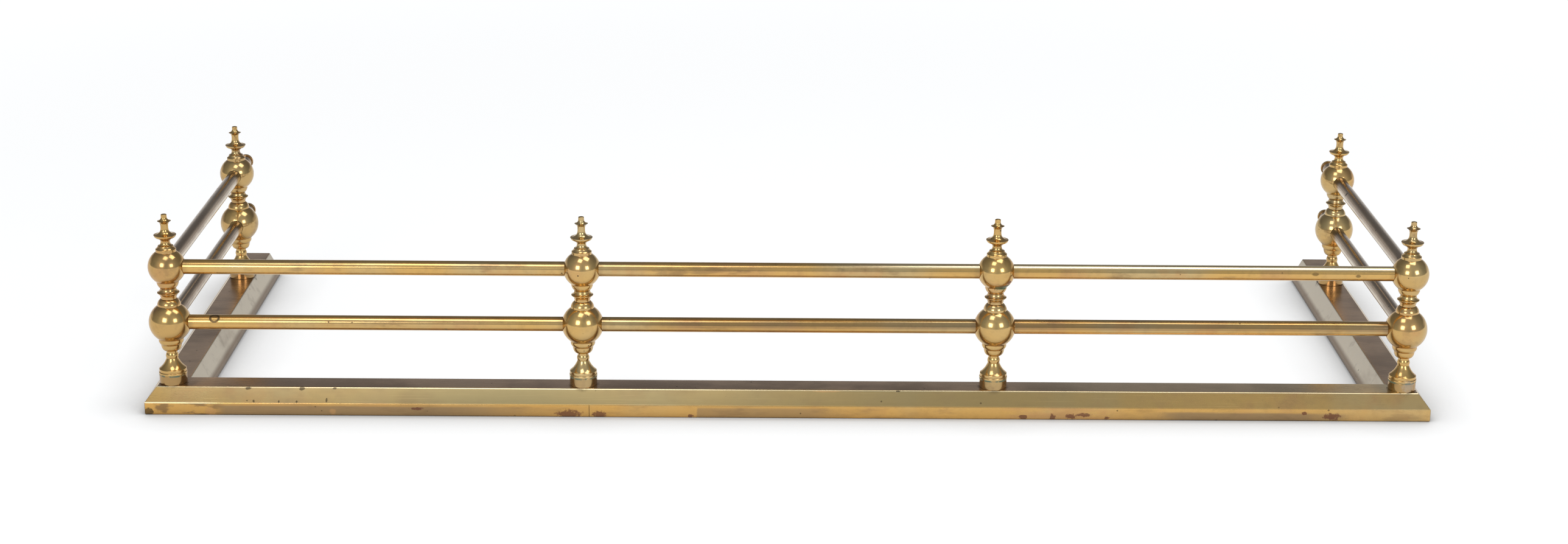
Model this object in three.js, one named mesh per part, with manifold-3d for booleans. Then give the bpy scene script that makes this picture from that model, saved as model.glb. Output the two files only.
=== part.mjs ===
// A brass rail fender for a fireplace: six turned posts stand on a mitred moulded base that is open at the back,
// and two levels of tubular rail run from post to post. A tie bolt up each post holds its turned pieces together.
// Millimetres, +Z up. The front faces -Y, and the origin is at the centre of the footprint, on the hearth.
import * as THREE from 'three';
import { mergeVertices } from 'three/addons/utils/BufferGeometryUtils.js';
import Module from 'manifold-3d';

const wasm = await Module();
wasm.setup();

// ---- Driving dimensions -------------------------------------------------------------------------------------

// Plan
const OVERALL_WIDTH = 1380; // outside of the left fascia to outside of the right one
const SIDE_BAY = 390; // corner post to rear post, axis to axis
const REAR_OVERHANG = 100; // rear post axis to the cut end of the base

// Base moulding, folded from sheet: a fascia, an outer bevel, a flat top, an inner bevel and an inner lip
const SHEET = 1.5;
const FLAT_WIDTH = 30;
const BEVEL_WIDTH = 12;
const BEVEL_HEIGHT = 15;
const FASCIA_HEIGHT = 13.5;
const LIP_HEIGHT = 6;
const HEM_WIDTH = 9; // turned in under the moulding, where it rests on the hearth
const MITRE_GAP = 0.3;

// Tie bolt: it runs up the whole post, and the finial is its nut
const BOLT_DIAMETER = 5;
const BOLT_CLEARANCE = 0.3; // all round the shank
const BOLT_REACH = 13; // into the finial
const BOLT_TIP_CLEARANCE = 1;
const BOLT_HEAD_DIAMETER = 14;
const BOLT_HEAD_HEIGHT = 5;
const WASHER_THICKNESS = 2;
const WASHER_SETBACK = 4; // in from the edge of the foot above it

// Rails
const RAIL_DIAMETER = 15.9;
const RAIL_WALL = 1;
const RAIL_TAIL = 54; // what a side rail runs on behind its rear post
const SOCKET_CLEARANCE = 0.25; // all round a rail in a ball
const SOCKET_WALL = 7; // between the bolt's bore and the floor of a rail's socket
const RAIL_END_GAP = 0.3; // a rail's end to its socket's floor

// Caps that close the rear ends of the side rails
const CAP_OVERHANG = 1.05; // proud of the rail, all round
const CAP_RIM = 2.5;
const SPIGOT_LENGTH = 8;
const SPIGOT_CLEARANCE = 0.25; // all round the spigot in the rail

// Foot: a plain drum
const FOOT_SETBACK = 0.25; // in from the edges of the flat top
const FOOT_HEIGHT = 10;

// Stem: a ring, a groove and a shoulder, then a flare up to a bead and a throat
const STEM_RING_PROUD = 0.25; // of the foot
const STEM_RING_HEIGHT = 2.5;
const STEM_GROOVE_DEPTH = 0.7;
const STEM_GROOVE_RISE = 0.8;
const STEM_SHOULDER_SETBACK = 0.5;
const STEM_SHOULDER_HEIGHT = 2.7;
const STEM_FLARE_HEIGHT = 11.5;
const STEM_WALL = 3; // round the bolt's bore, at the throat
const STEM_WAIST_PROUD = 0.4;
const STEM_BEAD_PROUD = 0.95;
const STEM_BEAD_HEIGHT = 6;
const STEM_THROAT_HEIGHT = 2.5;

// Lower ball: it sits in a cup, and a collar closes it
const CUP_FOOT_RADIUS = 7;
const CUP_RADIUS = 11.1;
const CUP_HEIGHT = 7.5;
const CUP_RIM_RADIUS = 13.2;
const CUP_LIP_HEIGHT = 3.5;
const CUP_RIM_HEIGHT = 2.6;
const LOWER_BALL_DIAMETER = 45;
const LOWER_COLLAR_RADIUS = 12.4;
const LOWER_COLLAR_HEIGHT = 2;
const LOWER_COLLAR_TOP_RADIUS = 8.6;
const LOWER_COLLAR_ROUND_HEIGHT = 5.5;

// Neck ring: a thin disc between two hollows
const NECK_RADIUS = 8.4;
const NECK_FOOT_HEIGHT = 1.5;
const NECK_DISC_RADIUS = 11.8;
const NECK_DISC_THICKNESS = 0.7;
const NECK_LOWER_HOLLOW_HEIGHT = 5.1;
const NECK_UPPER_HOLLOW_HEIGHT = 4.7;

// Upper ball
const SEAT_FOOT_RADIUS = 8.2;
const SEAT_RADIUS = 11.6;
const SEAT_ROUND_HEIGHT = 5.5;
const SEAT_RIM_HEIGHT = 1.7;
const UPPER_BALL_DIAMETER = 40;
const UPPER_COLLAR_RADIUS = 10.8;
const UPPER_COLLAR_HEIGHT = 3.1;
const UPPER_COLLAR_TOP_RADIUS = 8;
const UPPER_COLLAR_HOLLOW_HEIGHT = 3.7;

// Finial: a saucer on a throat, then a spindle with a button near its tip
const FINIAL_FOOT_RADIUS = 7.4;
const FINIAL_WALL = 2.1; // round the bolt's bore, at the throat
const FINIAL_THROAT_HEIGHT = 4.3;
const SAUCER_RADIUS = 12;
const SAUCER_HEIGHT = 7.6;
const SPINDLE_RADIUS = 4.1;
const SPINDLE_HOLLOW_HEIGHT = 7.1;
const SPINDLE_HEIGHT = 3.5;
const BUTTON_RADIUS = 7.3;
const BUTTON_HOLLOW_HEIGHT = 4.4;
const TIP_RADIUS = 3.1;
const TIP_HOLLOW_HEIGHT = 3.9;
const TIP_HEIGHT = 3.8;

// Facets
const TURNED_SIDES = 16;
const SLIM_SIDES = 12;
const CURVE_STEPS = 2;
const FLARE_STEPS = 3;
const BALL_STEPS = 6;
const DOME_STEPS = 3;

// ---- Places that follow from them -----------------------------------------------------------------------------

const BASE_HEIGHT = FASCIA_HEIGHT + BEVEL_HEIGHT;
const BASE_HALF = FLAT_WIDTH / 2 + BEVEL_WIDTH;
const OVERALL_DEPTH = BASE_HALF + SIDE_BAY + REAR_OVERHANG;
const POST_X = OVERALL_WIDTH / 2 - BASE_HALF;
const FRONT_Y = BASE_HALF - OVERALL_DEPTH / 2;
const REAR_Y = FRONT_Y + SIDE_BAY;
const BASE_END_Y = REAR_Y + REAR_OVERHANG;

const BORE_RADIUS = BOLT_DIAMETER / 2 + BOLT_CLEARANCE;
const FOOT_RADIUS = FLAT_WIDTH / 2 - FOOT_SETBACK;
const STEM_RING_RADIUS = FOOT_RADIUS + STEM_RING_PROUD;
const STEM_THROAT_RADIUS = BORE_RADIUS + STEM_WALL;
const FINIAL_THROAT_RADIUS = BORE_RADIUS + FINIAL_WALL;
const RAIL_RADIUS = RAIL_DIAMETER / 2;
const RAIL_BORE = RAIL_RADIUS - RAIL_WALL;
const SOCKET_RADIUS = RAIL_RADIUS + SOCKET_CLEARANCE;
const SOCKET_FLOOR = BORE_RADIUS + SOCKET_WALL;
const RAIL_START = SOCKET_FLOOR + RAIL_END_GAP;
const CAP_RADIUS = RAIL_RADIUS + CAP_OVERHANG;

// Directions in which rails leave a ball, as turns about Z from +Y
const TO_LEFT = Math.PI / 2;
const TO_RIGHT = -Math.PI / 2;
const TO_REAR = 0;

// Each post: its name, the place of its axis, and the rails in its balls. A rear post's rail runs right through.
const POSTS = [
  { name: 'front_left', x: -POST_X, y: FRONT_Y, rails: [TO_RIGHT, TO_REAR] },
  { name: 'front_mid_left', x: -POST_X / 3, y: FRONT_Y, rails: [TO_LEFT, TO_RIGHT] },
  { name: 'front_mid_right', x: POST_X / 3, y: FRONT_Y, rails: [TO_LEFT, TO_RIGHT] },
  { name: 'front_right', x: POST_X, y: FRONT_Y, rails: [TO_LEFT, TO_REAR] },
  { name: 'rear_left', x: -POST_X, y: REAR_Y, rails: [TO_REAR], through: true },
  { name: 'rear_right', x: POST_X, y: REAR_Y, rails: [TO_REAR], through: true },
];

// ---- Shapes ---------------------------------------------------------------------------------------------------

// A closed geometry as a solid that can be cut and joined
function solidOf(geometry) {
  const shell = geometry.clone();
  shell.deleteAttribute('normal');
  shell.deleteAttribute('uv');
  const merged = mergeVertices(shell);
  return new wasm.Manifold(new wasm.Mesh({
    numProp: 3,
    vertProperties: merged.attributes.position.array,
    triVerts: merged.index.array,
  }));
}

function geometryOf(solid) {
  const mesh = solid.getMesh();
  const geometry = new THREE.BufferGeometry();
  geometry.setAttribute('position', new THREE.BufferAttribute(mesh.vertProperties, 3));
  geometry.setIndex(new THREE.BufferAttribute(mesh.triVerts, 1));
  geometry.computeVertexNormals();
  return geometry;
}

// A round rod along Z
function rod(radius, from, to, sides) {
  const geometry = new THREE.CylinderGeometry(radius, radius, to - from, sides);
  return geometry.rotateX(Math.PI / 2).translate(0, 0, (from + to) / 2);
}

// A turned outline, drawn upwards: every move goes on from the last point to a radius, `rise` higher up
class Outline {
  constructor(radius) {
    this.points = [new THREE.Vector2(radius, 0)];
  }

  get end() {
    return this.points.at(-1);
  }

  line(radius, rise) {
    this.points.push(new THREE.Vector2(radius, this.end.y + rise));
    return this;
  }

  // Fullness 1 is a full round and -1 a full hollow, and 0 would be straight
  curve(radius, rise, fullness, steps = CURVE_STEPS) {
    const from = this.end.clone();
    const to = new THREE.Vector2(radius, from.y + rise);
    const widensAsRound = (to.x > from.x) === (fullness > 0);
    const corner = widensAsRound ? new THREE.Vector2(to.x, from.y) : new THREE.Vector2(from.x, to.y);
    const control = from.clone().lerp(to, 0.5).lerp(corner, Math.abs(fullness));
    this.points.push(...new THREE.QuadraticBezierCurve(from, control, to).getPoints(steps).slice(1));
    return this;
  }

  // Round a ball that shows from the last radius, below its middle, to `topRadius` above it
  ball(diameter, topRadius) {
    const radius = diameter / 2;
    this.ballDiameter = diameter;
    const startAngle = -Math.acos(this.end.x / radius);
    const endAngle = Math.acos(topRadius / radius);
    this.ballHeight = this.end.y - radius * Math.sin(startAngle);
    const arc = new THREE.EllipseCurve(0, this.ballHeight, radius, radius, startAngle, endAngle);
    this.points.push(...arc.getPoints(BALL_STEPS).slice(1));
    return this;
  }
}

// The outline turned about its axis, bored right through for the tie bolt
function bored(outline) {
  const bottom = new THREE.Vector2(BORE_RADIUS, 0);
  const top = new THREE.Vector2(BORE_RADIUS, outline.end.y);
  return turned([bottom, ...outline.points, top, bottom.clone()], TURNED_SIDES);
}

function turned(points, sides) {
  return new THREE.LatheGeometry(points, sides).rotateX(Math.PI / 2);
}

// ---- Materials ------------------------------------------------------------------------------------------------

function brass(color, roughness) {
  return new THREE.MeshStandardMaterial({ color, roughness, metalness: 1 });
}

function steel() {
  return new THREE.MeshStandardMaterial({ color: '#6f6b66', roughness: 0.5, metalness: 1 });
}

function piece(name, geometry, material) {
  const mesh = new THREE.Mesh(geometry, material);
  mesh.name = name;
  return mesh;
}

// ---- The turned pieces of a post, from the flat top of the base upwards -------------------------------------------

const footOutline = new Outline(FOOT_RADIUS).line(FOOT_RADIUS, FOOT_HEIGHT);

const stemOutline = new Outline(STEM_RING_RADIUS)
  .line(STEM_RING_RADIUS, STEM_RING_HEIGHT)
  .line(STEM_RING_RADIUS - STEM_GROOVE_DEPTH, STEM_GROOVE_RISE)
  .line(STEM_RING_RADIUS - STEM_SHOULDER_SETBACK, STEM_SHOULDER_HEIGHT)
  .curve(STEM_THROAT_RADIUS + STEM_WAIST_PROUD, STEM_FLARE_HEIGHT, -0.3, FLARE_STEPS)
  .curve(STEM_THROAT_RADIUS + STEM_BEAD_PROUD, STEM_BEAD_HEIGHT / 2, 0.6, 1)
  .line(STEM_THROAT_RADIUS, STEM_BEAD_HEIGHT / 2)
  .line(STEM_THROAT_RADIUS, STEM_THROAT_HEIGHT);

const lowerBallOutline = new Outline(CUP_FOOT_RADIUS)
  .curve(CUP_RADIUS, CUP_HEIGHT, 0.75)
  .curve(CUP_RIM_RADIUS, CUP_LIP_HEIGHT, 0.4, 1)
  .line(CUP_RIM_RADIUS, CUP_RIM_HEIGHT)
  .ball(LOWER_BALL_DIAMETER, LOWER_COLLAR_RADIUS)
  .line(LOWER_COLLAR_RADIUS, LOWER_COLLAR_HEIGHT)
  .curve(LOWER_COLLAR_TOP_RADIUS, LOWER_COLLAR_ROUND_HEIGHT, 0.4);

const neckOutline = new Outline(NECK_RADIUS)
  .line(NECK_RADIUS, NECK_FOOT_HEIGHT)
  .curve(NECK_DISC_RADIUS, NECK_LOWER_HOLLOW_HEIGHT, -0.5)
  .line(NECK_DISC_RADIUS, NECK_DISC_THICKNESS)
  .curve(NECK_RADIUS, NECK_UPPER_HOLLOW_HEIGHT, -0.7);

const upperBallOutline = new Outline(SEAT_FOOT_RADIUS)
  .curve(SEAT_RADIUS, SEAT_ROUND_HEIGHT, 0.4)
  .line(SEAT_RADIUS, SEAT_RIM_HEIGHT)
  .ball(UPPER_BALL_DIAMETER, UPPER_COLLAR_RADIUS)
  .line(UPPER_COLLAR_RADIUS, UPPER_COLLAR_HEIGHT)
  .curve(UPPER_COLLAR_TOP_RADIUS, UPPER_COLLAR_HOLLOW_HEIGHT, -0.4);

const finialOutline = new Outline(FINIAL_FOOT_RADIUS)
  .curve(FINIAL_THROAT_RADIUS, FINIAL_THROAT_HEIGHT, -0.7)
  .curve((FINIAL_THROAT_RADIUS + SAUCER_RADIUS) / 2, SAUCER_HEIGHT / 2, -0.6)
  .curve(SAUCER_RADIUS, SAUCER_HEIGHT / 2, 0.6)
  .curve(SPINDLE_RADIUS, SPINDLE_HOLLOW_HEIGHT, -0.9, FLARE_STEPS)
  .line(SPINDLE_RADIUS, SPINDLE_HEIGHT)
  .curve(BUTTON_RADIUS, BUTTON_HOLLOW_HEIGHT, -0.6)
  .curve(TIP_RADIUS, TIP_HOLLOW_HEIGHT, -0.7)
  .line(TIP_RADIUS, TIP_HEIGHT);

// The pieces bottom to top, and the height of each one's foot above the flat top
const STACK = [
  { name: 'foot', outline: footOutline },
  { name: 'stem', outline: stemOutline },
  { name: 'lower_ball', outline: lowerBallOutline },
  { name: 'neck_ring', outline: neckOutline },
  { name: 'upper_ball', outline: upperBallOutline },
];
let stackHeight = 0;
for (const item of STACK) {
  item.height = stackHeight;
  stackHeight += item.outline.end.y;
}
const [, , lowerBall, , upperBall] = STACK;
const RAIL_LEVELS = {
  lower: BASE_HEIGHT + lowerBall.height + lowerBallOutline.ballHeight,
  upper: BASE_HEIGHT + upperBall.height + upperBallOutline.ballHeight,
};

// A ball with a socket for each rail that leaves it, or with one hole right through
function withSockets(geometry, outline, post) {
  const reach = outline.ballDiameter;
  const floor = post.through ? -reach : SOCKET_FLOOR;
  let solid = solidOf(geometry);
  for (const turn of post.rails) {
    const socket = new THREE.CylinderGeometry(SOCKET_RADIUS, SOCKET_RADIUS, reach - floor, SLIM_SIDES);
    socket.translate(0, (floor + reach) / 2, 0).rotateZ(turn).translate(0, 0, outline.ballHeight);
    solid = solid.subtract(solidOf(socket));
  }
  return geometryOf(solid);
}

// The finial, with a blind hole for the end of the tie bolt
function finial() {
  const depth = BOLT_REACH + BOLT_TIP_CLEARANCE;
  const top = finialOutline.end.y;
  return turned([
    new THREE.Vector2(0, depth),
    new THREE.Vector2(BORE_RADIUS, depth),
    new THREE.Vector2(BORE_RADIUS, 0),
    ...finialOutline.points,
    new THREE.Vector2(0, top),
  ], SLIM_SIDES);
}

// The tie bolt and its washer, which bears on the underside of the flat top
function tieBolt() {
  const washerTop = -SHEET;
  const washerBottom = washerTop - WASHER_THICKNESS;
  const washerMiddle = washerTop - WASHER_THICKNESS / 2;
  const washer = rod(FOOT_RADIUS - WASHER_SETBACK, washerBottom, washerTop, SLIM_SIDES);
  const shank = rod(BOLT_DIAMETER / 2, washerMiddle, stackHeight + BOLT_REACH, SLIM_SIDES);
  const head = rod(BOLT_HEAD_DIAMETER / 2, washerBottom - BOLT_HEAD_HEIGHT, washerMiddle, 6);
  return geometryOf(solidOf(shank).add(solidOf(washer)).add(solidOf(head)));
}

function makePost(post) {
  const group = new THREE.Group();
  group.position.set(post.x, post.y, BASE_HEIGHT);
  for (const { name, outline, height } of STACK) {
    let geometry = bored(outline);
    if (outline.ballDiameter) {
      geometry = withSockets(geometry, outline, post);
    }
    const mesh = piece(`${post.name}_${name}`, geometry, brass('#b8995a', 0.25));
    mesh.position.z = height;
    group.add(mesh);
  }
  const finialMesh = piece(`${post.name}_finial`, finial(), brass('#c2a05c', 0.25));
  finialMesh.position.z = stackHeight;
  group.add(finialMesh, piece(`${post.name}_tie_bolt`, tieBolt(), steel()));
  return group;
}

// ---- Rails ------------------------------------------------------------------------------------------------------

// A tube along Y from its front end
function railTube(length) {
  return new THREE.LatheGeometry([
    new THREE.Vector2(RAIL_BORE, 0),
    new THREE.Vector2(RAIL_RADIUS, 0),
    new THREE.Vector2(RAIL_RADIUS, length),
    new THREE.Vector2(RAIL_BORE, length),
    new THREE.Vector2(RAIL_BORE, 0),
  ], SLIM_SIDES);
}

function makeFrontRails(level) {
  const group = new THREE.Group();
  const frontPosts = POSTS.filter((post) => post.y === FRONT_Y);
  ['left', 'middle', 'right'].forEach((bay, index) => {
    const start = frontPosts[index].x + RAIL_START;
    const end = frontPosts[index + 1].x - RAIL_START;
    const rail = piece(`front_${level}_rail_${bay}`, railTube(end - start), brass('#c9a765', 0.25));
    rail.rotation.z = TO_RIGHT;
    rail.position.set(start, FRONT_Y, RAIL_LEVELS[level]);
    group.add(rail);
  });
  return group;
}

// A side rail starts in the corner post's ball and runs on through the rear post's, where the tie bolt crosses it
function makeSideRail(side, x, level) {
  const crossing = SIDE_BAY - RAIL_START;
  const bolt = rod(BORE_RADIUS, -SOCKET_RADIUS, SOCKET_RADIUS, SLIM_SIDES).translate(0, crossing, 0);
  const tube = solidOf(railTube(crossing + RAIL_TAIL)).subtract(solidOf(bolt));
  const rail = piece(`${side}_${level}_rail`, geometryOf(tube), brass('#c0a468', 0.25));
  rail.position.set(x, FRONT_Y + RAIL_START, RAIL_LEVELS[level]);
  return rail;
}

// A domed cap: its spigot is inside the rail, and its rim bears on the rail's end
function makeCap(side, x, level) {
  const spigotRadius = RAIL_BORE - SPIGOT_CLEARANCE;
  const dome = new THREE.EllipseCurve(0, CAP_RIM, CAP_RADIUS, CAP_RADIUS, 0, Math.PI / 2);
  const geometry = new THREE.LatheGeometry([
    new THREE.Vector2(0, -SPIGOT_LENGTH),
    new THREE.Vector2(spigotRadius, -SPIGOT_LENGTH),
    new THREE.Vector2(spigotRadius, 0),
    new THREE.Vector2(CAP_RADIUS, 0),
    ...dome.getPoints(DOME_STEPS).slice(0, -1),
    new THREE.Vector2(0, CAP_RIM + CAP_RADIUS),
  ], SLIM_SIDES);
  const cap = piece(`rear_${side}_${level}_cap`, geometry, brass('#b8995a', 0.25));
  cap.position.set(x, REAR_Y + RAIL_TAIL, RAIL_LEVELS[level]);
  return cap;
}

// ---- Base moulding ----------------------------------------------------------------------------------------------

// The outer face of the folded sheet, from the hem under the fascia round to the hem under the inner lip:
// how far out from the line of the posts, and how high
const BASE_FOLDS = [
  [BASE_HALF - HEM_WIDTH, 0],
  [BASE_HALF, 0],
  [BASE_HALF, FASCIA_HEIGHT],
  [FLAT_WIDTH / 2, BASE_HEIGHT],
  [-FLAT_WIDTH / 2, BASE_HEIGHT],
  [-BASE_HALF, LIP_HEIGHT],
  [-BASE_HALF, 0],
  [-BASE_HALF + HEM_WIDTH, 0],
].map(([out, up]) => new THREE.Vector2(out, up));

// The same path, `distance` to the left of its direction of travel, with its corners kept sharp
function offsetPath(path, distance) {
  const normals = path.slice(1).map((point, index) => {
    const direction = point.clone().sub(path[index]).normalize();
    return new THREE.Vector2(-direction.y, direction.x);
  });
  return path.map((point, index) => {
    const before = normals[Math.max(index - 1, 0)];
    const after = normals[Math.min(index, normals.length - 1)];
    const corner = before.clone().add(after);
    return point.clone().addScaledVector(corner, distance / (1 + before.dot(after)));
  });
}

// A length of the moulding along -Y with its fascia at +X. Each end is a function of how far out a fold lies,
// so that an end can be square or mitred. Holes for the tie bolts go through the flat top at the given places.
function moulding(startAt, endAt, holes) {
  const inside = offsetPath(BASE_FOLDS, SHEET).reverse();
  const section = new THREE.Shape([...BASE_FOLDS, ...inside]);
  const geometry = new THREE.ExtrudeGeometry(section, { depth: 1, bevelEnabled: false });
  const position = geometry.attributes.position;
  for (let index = 0; index < position.count; index += 1) {
    const out = position.getX(index);
    const place = position.getZ(index) < 0.5 ? startAt(out) : endAt(out);
    position.setZ(index, place);
  }
  geometry.rotateX(Math.PI / 2);
  let solid = solidOf(geometry);
  for (const place of holes) {
    const hole = rod(BORE_RADIUS, BASE_HEIGHT - 2 * SHEET, BASE_HEIGHT + SHEET, SLIM_SIDES);
    solid = solid.subtract(solidOf(hole.translate(0, -place, 0)));
  }
  return geometryOf(solid);
}

function makeBase() {
  const group = new THREE.Group();
  const pullBack = MITRE_GAP / Math.SQRT2;
  const square = () => BASE_END_Y;
  const pastCorner = (corner) => (out) => corner + out - pullBack;
  const negative = (end) => (out) => -end(out);
  const sheetBrass = () => brass('#b39557', 0.3);

  const frontEnd = pastCorner(POST_X);
  const frontHoles = POSTS.filter((post) => post.y === FRONT_Y).map((post) => post.x);
  const front = piece('base_front', moulding(negative(frontEnd), frontEnd, frontHoles), sheetBrass());
  front.rotation.z = TO_RIGHT;
  front.position.y = FRONT_Y;

  const returnEnd = pastCorner(-FRONT_Y);
  const right = piece('base_right_return',
    moulding(negative(square), returnEnd, [-FRONT_Y, -REAR_Y]), sheetBrass());
  right.position.x = POST_X;

  const left = piece('base_left_return',
    moulding(negative(returnEnd), square, [FRONT_Y, REAR_Y]), sheetBrass());
  left.rotation.z = Math.PI;
  left.position.x = -POST_X;

  group.add(front, right, left);
  return group;
}

// ---- The fender -------------------------------------------------------------------------------------------------

const fender = new THREE.Group();
fender.add(makeBase());
for (const post of POSTS) {
  fender.add(makePost(post));
}
for (const level of ['lower', 'upper']) {
  fender.add(makeFrontRails(level));
  fender.add(makeSideRail('left', -POST_X, level), makeSideRail('right', POST_X, level));
  fender.add(makeCap('left', -POST_X, level), makeCap('right', POST_X, level));
}

export default fender;
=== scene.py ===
"""Fire fender: turned brass posts and tubular rails on a folded brass base, dressed for its picture."""

import math

import bmesh
import bpy
from bpy.props import FloatProperty, FloatVectorProperty, IntProperty, PointerProperty
from bpy.types import Operator, Panel, PropertyGroup
from mathutils import Matrix, Vector
from mathutils.kdtree import KDTree


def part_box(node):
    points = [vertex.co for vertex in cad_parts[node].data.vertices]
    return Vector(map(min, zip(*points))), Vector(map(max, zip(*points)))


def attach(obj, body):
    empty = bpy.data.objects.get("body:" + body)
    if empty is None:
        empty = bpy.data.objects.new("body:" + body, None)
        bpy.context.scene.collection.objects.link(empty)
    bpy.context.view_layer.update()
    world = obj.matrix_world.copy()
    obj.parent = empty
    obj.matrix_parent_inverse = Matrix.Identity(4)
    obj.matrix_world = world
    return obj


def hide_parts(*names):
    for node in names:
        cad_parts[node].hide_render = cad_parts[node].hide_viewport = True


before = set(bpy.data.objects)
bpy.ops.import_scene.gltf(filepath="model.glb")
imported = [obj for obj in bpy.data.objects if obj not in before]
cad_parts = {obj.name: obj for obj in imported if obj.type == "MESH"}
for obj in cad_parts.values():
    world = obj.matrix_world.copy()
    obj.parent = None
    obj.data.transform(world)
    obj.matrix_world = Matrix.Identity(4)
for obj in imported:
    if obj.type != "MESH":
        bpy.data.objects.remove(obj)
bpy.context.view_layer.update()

bl_info = {
    "name": "Fire fender",
    "version": (1, 0, 0),
    "blender": (4, 5, 0),
    "location": "View3D > Sidebar > Fender",
    "description": "Builds a brass fire fender piece by piece, with its finishes and a plain studio",
    "category": "Object",
}

MM = 0.001
SHARP_FROM = math.radians(34)

LEFT, RIGHT, REARWARD = Vector((-1, 0, 0)), Vector((1, 0, 0)), Vector((0, 1, 0))

# Each post, and the ways in which rails leave its balls. A rear post's rails run right through.
POSTS = {
    "front_left": (RIGHT, REARWARD),
    "front_mid_left": (LEFT, RIGHT),
    "front_mid_right": (LEFT, RIGHT),
    "front_right": (LEFT, REARWARD),
    "rear_left": (-REARWARD, REARWARD),
    "rear_right": (-REARWARD, REARWARD),
}
FRONT_RAILS = tuple(f"front_{level}_rail_{bay}" for level in ("upper", "lower") for bay in ("left", "middle", "right"))
SIDE_RAILS = tuple(f"{side}_{level}_rail" for side in ("left", "right") for level in ("upper", "lower"))
RAIL_CAPS = tuple(f"rear_{side}_{level}_cap" for side in ("left", "right") for level in ("upper", "lower"))


# ---- Sizes and colours that can be changed ----


def length(name, description, millimetres):
    return FloatProperty(name=name, description=description, default=millimetres * MM, min=0, precision=4,
                         unit="LENGTH", subtype="DISTANCE")


def colour(name, description, red, green, blue):
    return FloatVectorProperty(name=name, description=description, default=(red, green, blue), size=3, min=0, max=1,
                               subtype="COLOR")


def amount(name, description, default, most=1.0):
    return FloatProperty(name=name, description=description, default=default, min=0, max=most, subtype="FACTOR")


def count(name, description, default, least, most):
    return IntProperty(name=name, description=description, default=default, min=least, max=most)


class FenderBase(PropertyGroup):
    flat: length("Flat top", "Width of the flat top that the posts stand on", 30)
    spread: length("Spread", "From the line of the posts out to the fascia, and in to the inner lip", 27)
    fascia: length("Fascia", "Height of the upright fascia", 13.5)
    lip: length("Inner lip", "Height of the upright lip on the inner side", 6)
    hem: length("Hem", "Width of the hem turned in under the fascia and the lip", 9)
    sheet: length("Sheet", "Thickness of the folded sheet", 1.5)
    fold: length("Fold", "Outer radius of the folds", 1.8)
    mitre_gap: length("Mitre gap", "Gap between the mouldings at a front corner", 0.3)
    fold_facets: count("Fold facets", "Facets round each fold", 14, 2, 24)


class FenderPosts(PropertyGroup):
    foot: length("Foot", "Diameter of the foot drum", 29.5)
    lower_ball: length("Lower ball", "Diameter of the lower ball", 45)
    upper_ball: length("Upper ball", "Diameter of the upper ball", 40)
    saucer: length("Saucer", "Diameter of the saucer on the finial", 24)
    bore: length("Bore", "Diameter of the hole for the tie bolt", 5.6)
    socket: length("Socket", "Diameter of the holes that the rails enter", 16.4)
    socket_floor: length("Socket floor", "From a post's axis to the floor of its sockets", 9.8)
    arris: length("Arris", "How far the turned edges are eased", 0.32)
    facets: count("Facets", "Facets round each turned piece", 96, 24, 256)


class FenderBolts(PropertyGroup):
    shank: length("Shank", "Diameter of the tie bolt", 5)
    washer: length("Washer", "Diameter of the washer under the flat top", 21.5)
    washer_thickness: length("Washer thickness", "Thickness of the washer", 2)
    head: length("Head", "Size of the hexagon head across its corners", 14)


class FenderRails(PropertyGroup):
    diameter: length("Diameter", "Outer diameter of the rails", 15.9)
    wall: length("Wall", "Thickness of the tube", 1)
    cap: length("Cap", "Diameter of the domed caps", 18)
    cap_rim: length("Cap rim", "Length of the straight rim of a cap", 2.5)
    spigot: length("Spigot", "Diameter of the plug that holds a cap in its tube", 13.4)
    facets: count("Facets", "Facets round each rail", 64, 16, 128)


class FenderFinish(PropertyGroup):
    gold: colour("Gold", "Clean polished brass", 0.675, 0.43, 0.155)
    rail_gold: colour("Rail gold", "Clean drawn tube and sheet, a little warmer", 0.72, 0.44, 0.145)
    pale_gold: colour("Pale gold", "Brass that has lost its warmth", 0.63, 0.455, 0.215)
    red_gold: colour("Red gold", "Brass with a coppery tint", 0.64, 0.36, 0.15)
    tarnish: colour("Tarnish", "Brown tarnish in hollows and blotches", 0.21, 0.13, 0.075)
    # Also painted shade: laid on most heavily just left of the middle, where the left ceiling lamp reflects in the
    # bevels
    dull_shaded_brass: colour("Dull brass", "The bevels, dulled to a greenish brown", 0.30, 0.235, 0.115)
    flat_brown: colour("Flat top", "The brown film on the flat top of the base", 0.70, 0.485, 0.33)
    film: colour("Film", "The thin brown film along the fascia", 0.29, 0.205, 0.125)
    amber: colour("Amber", "The clean brass of the fascia", 0.76, 0.42, 0.11)
    # On the side rails this is partly a painted reflection of the bright room
    dust_and_sheen: colour("Dust", "The pale film on the inner bevels and the side rails", 0.72, 0.65, 0.53)
    # Also a painted highlight: pale along the folds of the base and on the tops of the upper front tubes on the right
    wear_and_highlight: colour("Worn edge", "The bright edge of the flat top", 0.92, 0.78, 0.5)
    copper: colour("Copper stain", "Dark red where the zinc has gone", 0.19, 0.075, 0.05)
    verdigris: colour("Verdigris", "Green deposit in the joints", 0.10, 0.19, 0.14)
    solder: colour("Solder", "Silvery repair on a foot", 0.52, 0.49, 0.43)
    grime: colour("Grime", "Dark dirt in the joints and spots", 0.045, 0.033, 0.022)
    steel: colour("Steel", "Dull steel of the tie bolts", 0.16, 0.15, 0.14)
    gloss: amount("Roughness", "Roughness of the clean brass", 0.13)
    sheet_gloss: amount("Sheet roughness", "Roughness of the clean sheet of the base", 0.2)


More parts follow.
